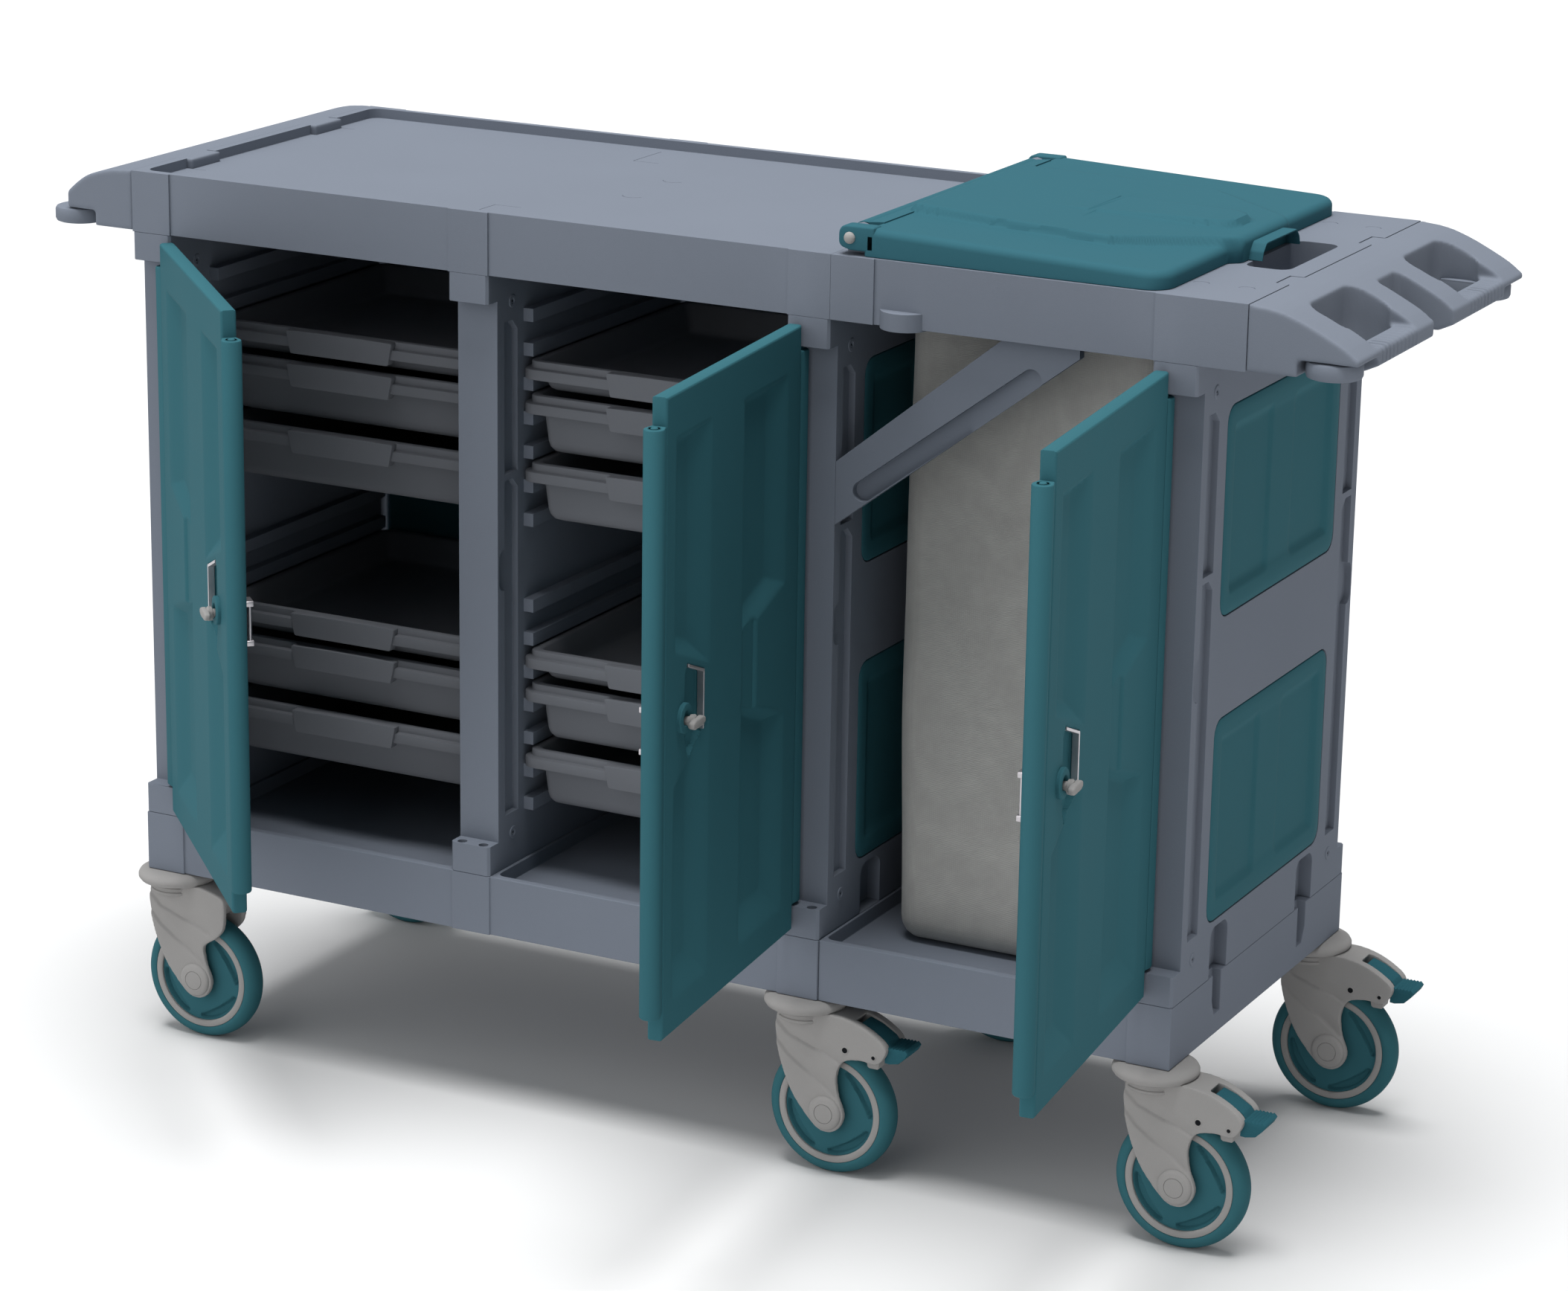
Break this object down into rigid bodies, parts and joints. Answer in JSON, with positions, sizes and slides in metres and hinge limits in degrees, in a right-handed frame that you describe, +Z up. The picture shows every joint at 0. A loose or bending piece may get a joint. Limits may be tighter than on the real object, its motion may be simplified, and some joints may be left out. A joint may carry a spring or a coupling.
{
  "type": "housekeeping cart",
  "caption": "Long grey and teal plastic housekeeping cart with sliding trays behind swing doors, a lidded bag bay, a push handle and braked swivel casters.",
  "frame": {"origin": "middle of the cart's bounding box on the floor, with the doors as they stand at rest", "axes": "+Z up, +X along the cart towards the push handle, -Y the side with the doors"},
  "size_m": [1.69, 0.9734, 1.144],
  "materials": {
    "frame_grey": "grey moulded plastic with a fine grain",
    "lid_teal": "teal moulded plastic with a fine grain, slightly smoother than the doors",
    "tray_grey": "grey moulded plastic, slightly smooth",
    "teal_panel": "teal moulded plastic with a fine grain",
    "brake_teal": "teal moulded plastic, ribbed",
    "caster_grey": "warm light grey moulded plastic",
    "wheel_tread": "teal polyurethane tread on a grey and teal hub",
    "bag_fabric": "warm grey close-woven fabric"
  },
  "bodies": {
    "root": {"back_panel_bag": "teal_panel", "back_panel_left": "teal_panel", "back_panel_mid": "teal_panel", "bag_bay_insert_lower": "teal_panel", "bag_bay_insert_upper": "teal_panel", "bag_frame_top": "frame_grey", "base_bag": "frame_grey", "base_main": "frame_grey", "brace_front": "frame_grey", "brace_rear": "frame_grey", "deck_top": "frame_grey", "divider_panel_bag": "frame_grey", "divider_panel_mid": "frame_grey", "end_insert_left_lower": "teal_panel", "end_insert_left_upper": "teal_panel", "end_insert_right_lower": "teal_panel", "end_insert_right_upper": "teal_panel", "handle_console": "frame_grey", "laundry_bag": "bag_fabric", "left_end_bar": "frame_grey", "side_panel_left": "frame_grey", "side_panel_right": "frame_grey", "tray_left_1": "tray_grey", "tray_left_2": "tray_grey", "tray_left_3": "tray_grey", "tray_left_4": "tray_grey", "tray_left_5": "tray_grey", "tray_left_6": "tray_grey"},
    "door_left": {"door_left": "teal_panel"},
    "door_knob_left": {"door_knob_left": "caster_grey"},
    "door_mid": {"door_mid": "teal_panel"},
    "door_knob_mid": {"door_knob_mid": "caster_grey"},
    "door_right": {"door_right": "teal_panel"},
    "door_knob_right": {"door_knob_right": "caster_grey"},
    "lid": {"bag_lid": "lid_teal"},
    "tray_mid_1": {"tray_mid_1": "tray_grey"},
    "tray_mid_2": {"tray_mid_2": "tray_grey"},
    "tray_mid_3": {"tray_mid_3": "tray_grey"},
    "tray_mid_4": {"tray_mid_4": "tray_grey"},
    "tray_mid_5": {"tray_mid_5": "tray_grey"},
    "tray_mid_6": {"tray_mid_6": "tray_grey"},
    "fork_front_left": {"caster_fork_front_left": "caster_grey"},
    "wheel_front_left": {"caster_wheel_front_left": "wheel_tread"},
    "fork_rear_left": {"caster_fork_rear_left": "caster_grey"},
    "wheel_rear_left": {"caster_wheel_rear_left": "wheel_tread"},
    "fork_front_mid": {"caster_fork_front_mid": "caster_grey"},
    "wheel_front_mid": {"caster_wheel_front_mid": "wheel_tread"},
    "pedal_front_mid": {"brake_pedal_front_mid": "brake_teal"},
    "fork_rear_mid": {"caster_fork_rear_mid": "caster_grey"},
    "wheel_rear_mid": {"caster_wheel_rear_mid": "wheel_tread"},
    "fork_front_right": {"caster_fork_front_right": "caster_grey"},
    "wheel_front_right": {"caster_wheel_front_right": "wheel_tread"},
    "pedal_front_right": {"brake_pedal_front_right": "brake_teal"},
    "fork_rear_right": {"caster_fork_rear_right": "caster_grey"},
    "wheel_rear_right": {"caster_wheel_rear_right": "wheel_tread"},
    "pedal_rear_right": {"brake_pedal_rear_right": "brake_teal"},
    "roller_front_left": {"bumper_roller_front_left": "frame_grey"},
    "roller_rear_left": {"bumper_roller_rear_left": "frame_grey"},
    "roller_front_right": {"bumper_roller_front_right": "frame_grey"},
    "roller_rear_right": {"bumper_roller_rear_right": "frame_grey"}
  },
  "joints": [
    {"name": "door_hinge_left", "type": "hinge", "parent": "root", "child": "door_left", "pos_m": [-0.6775, -0.06266, 0.661], "axis": [0, 0, -1], "range_deg": [-45, 65]},
    {"name": "knob_turn_left", "type": "hinge", "parent": "door_left", "child": "door_knob_left", "pos_m": [-0.43355, -0.30662, 0.652], "axis": [-0.7071, -0.7071, 0], "range_deg": [0, 90]},
    {"name": "door_hinge_mid", "type": "hinge", "parent": "root", "child": "door_mid", "pos_m": [0.1795, -0.06266, 0.661], "axis": [0, 0, 1], "range_deg": [-96, 14]},
    {"name": "knob_turn_mid", "type": "hinge", "parent": "door_mid", "child": "door_knob_mid", "pos_m": [0.21556, -0.40577, 0.652], "axis": [0.9945, 0.1045, 0], "range_deg": [0, 90]},
    {"name": "door_hinge_right", "type": "hinge", "parent": "root", "child": "door_right", "pos_m": [0.62275, -0.06266, 0.661], "axis": [0, 0, 1], "range_deg": [-96, 14]},
    {"name": "knob_turn_right", "type": "hinge", "parent": "door_right", "child": "door_knob_right", "pos_m": [0.65881, -0.40577, 0.652], "axis": [0.9945, 0.1045, 0], "range_deg": [0, 90]},
    {"name": "lid_hinge", "type": "hinge", "parent": "root", "child": "lid", "pos_m": [0.241, 0.19734, 1.122], "axis": [0, -1, 0], "range_deg": [0, 100]},
    {"name": "tray_slide_mid_1", "type": "slide", "parent": "root", "child": "tray_mid_1", "axis": [0, -1, 0], "range_m": [0, 0.3]},
    {"name": "tray_slide_mid_2", "type": "slide", "parent": "root", "child": "tray_mid_2", "axis": [0, -1, 0], "range_m": [0, 0.3]},
    {"name": "tray_slide_mid_3", "type": "slide", "parent": "root", "child": "tray_mid_3", "axis": [0, -1, 0], "range_m": [0, 0.3]},
    {"name": "tray_slide_mid_4", "type": "slide", "parent": "root", "child": "tray_mid_4", "axis": [0, -1, 0], "range_m": [0, 0.3]},
    {"name": "tray_slide_mid_5", "type": "slide", "parent": "root", "child": "tray_mid_5", "axis": [0, -1, 0], "range_m": [0, 0.3]},
    {"name": "tray_slide_mid_6", "type": "slide", "parent": "root", "child": "tray_mid_6", "axis": [0, -1, 0], "range_m": [0, 0.3]},
    {"name": "swivel_front_left", "type": "hinge", "parent": "root", "child": "fork_front_left", "pos_m": [-0.69225, -0.04266, 0.24], "axis": [0, 0, 1], "continuous": true},
    {"name": "wheel_spin_front_left", "type": "hinge", "parent": "fork_front_left", "child": "wheel_front_left", "pos_m": [-0.65325, -0.04266, 0.0805], "axis": [0, 1, 0], "continuous": true},
    {"name": "swivel_rear_left", "type": "hinge", "parent": "root", "child": "fork_rear_left", "pos_m": [-0.69225, 0.43734, 0.24], "axis": [0, 0, 1], "continuous": true},
    {"name": "wheel_spin_rear_left", "type": "hinge", "parent": "fork_rear_left", "child": "wheel_rear_left", "pos_m": [-0.65325, 0.43734, 0.0805], "axis": [0, 1, 0], "continuous": true},
    {"name": "swivel_front_mid", "type": "hinge", "parent": "root", "child": "fork_front_mid", "pos_m": [0.19425, -0.04266, 0.24], "axis": [0, 0, 1], "continuous": true},
    {"name": "wheel_spin_front_mid", "type": "hinge", "parent": "fork_front_mid", "child": "wheel_front_mid", "pos_m": [0.23325, -0.04266, 0.0805], "axis": [0, 1, 0], "continuous": true},
    {"name": "brake_front_mid", "type": "hinge", "parent": "fork_front_mid", "child": "pedal_front_mid", "pos_m": [0.29225, -0.04266, 0.163], "axis": [0, 1, 0], "range_deg": [0, 15]},
    {"name": "swivel_rear_mid", "type": "hinge", "parent": "root", "child": "fork_rear_mid", "pos_m": [0.19425, 0.43734, 0.24], "axis": [0, 0, 1], "continuous": true},
    {"name": "wheel_spin_rear_mid", "type": "hinge", "parent": "fork_rear_mid", "child": "wheel_rear_mid", "pos_m": [0.23325, 0.43734, 0.0805], "axis": [0, 1, 0], "continuous": true},
    {"name": "swivel_front_right", "type": "hinge", "parent": "root", "child": "fork_front_right", "pos_m": [0.6375, -0.04266, 0.24], "axis": [0, 0, 1], "continuous": true},
    {"name": "wheel_spin_front_right", "type": "hinge", "parent": "fork_front_right", "child": "wheel_front_right", "pos_m": [0.6765, -0.04266, 0.0805], "axis": [0, 1, 0], "continuous": true},
    {"name": "brake_front_right", "type": "hinge", "parent": "fork_front_right", "child": "pedal_front_right", "pos_m": [0.7355, -0.04266, 0.163], "axis": [0, 1, 0], "range_deg": [0, 15]},
    {"name": "swivel_rear_right", "type": "hinge", "parent": "root", "child": "fork_rear_right", "pos_m": [0.6375, 0.43734, 0.24], "axis": [0, 0, 1], "continuous": true},
    {"name": "wheel_spin_rear_right", "type": "hinge", "parent": "fork_rear_right", "child": "wheel_rear_right", "pos_m": [0.6765, 0.43734, 0.0805], "axis": [0, 1, 0], "continuous": true},
    {"name": "brake_rear_right", "type": "hinge", "parent": "fork_rear_right", "child": "pedal_rear_right", "pos_m": [0.7355, 0.43734, 0.163], "axis": [0, 1, 0], "range_deg": [0, 15]},
    {"name": "roller_spin_front_left", "type": "hinge", "parent": "root", "child": "roller_front_left", "pos_m": [-0.814, -0.04166, 1.037], "axis": [0, 0, 1], "continuous": true},
    {"name": "roller_spin_rear_left", "type": "hinge", "parent": "root", "child": "roller_rear_left", "pos_m": [-0.814, 0.43634, 1.037], "axis": [0, 0, 1], "continuous": true},
    {"name": "roller_spin_front_right", "type": "hinge", "parent": "root", "child": "roller_front_right", "pos_m": [0.808, -0.04166, 1.037], "axis": [0, 0, 1], "continuous": true},
    {"name": "roller_spin_rear_right", "type": "hinge", "parent": "root", "child": "roller_rear_right", "pos_m": [0.808, 0.43634, 1.037], "axis": [0, 0, 1], "continuous": true}
  ]
}
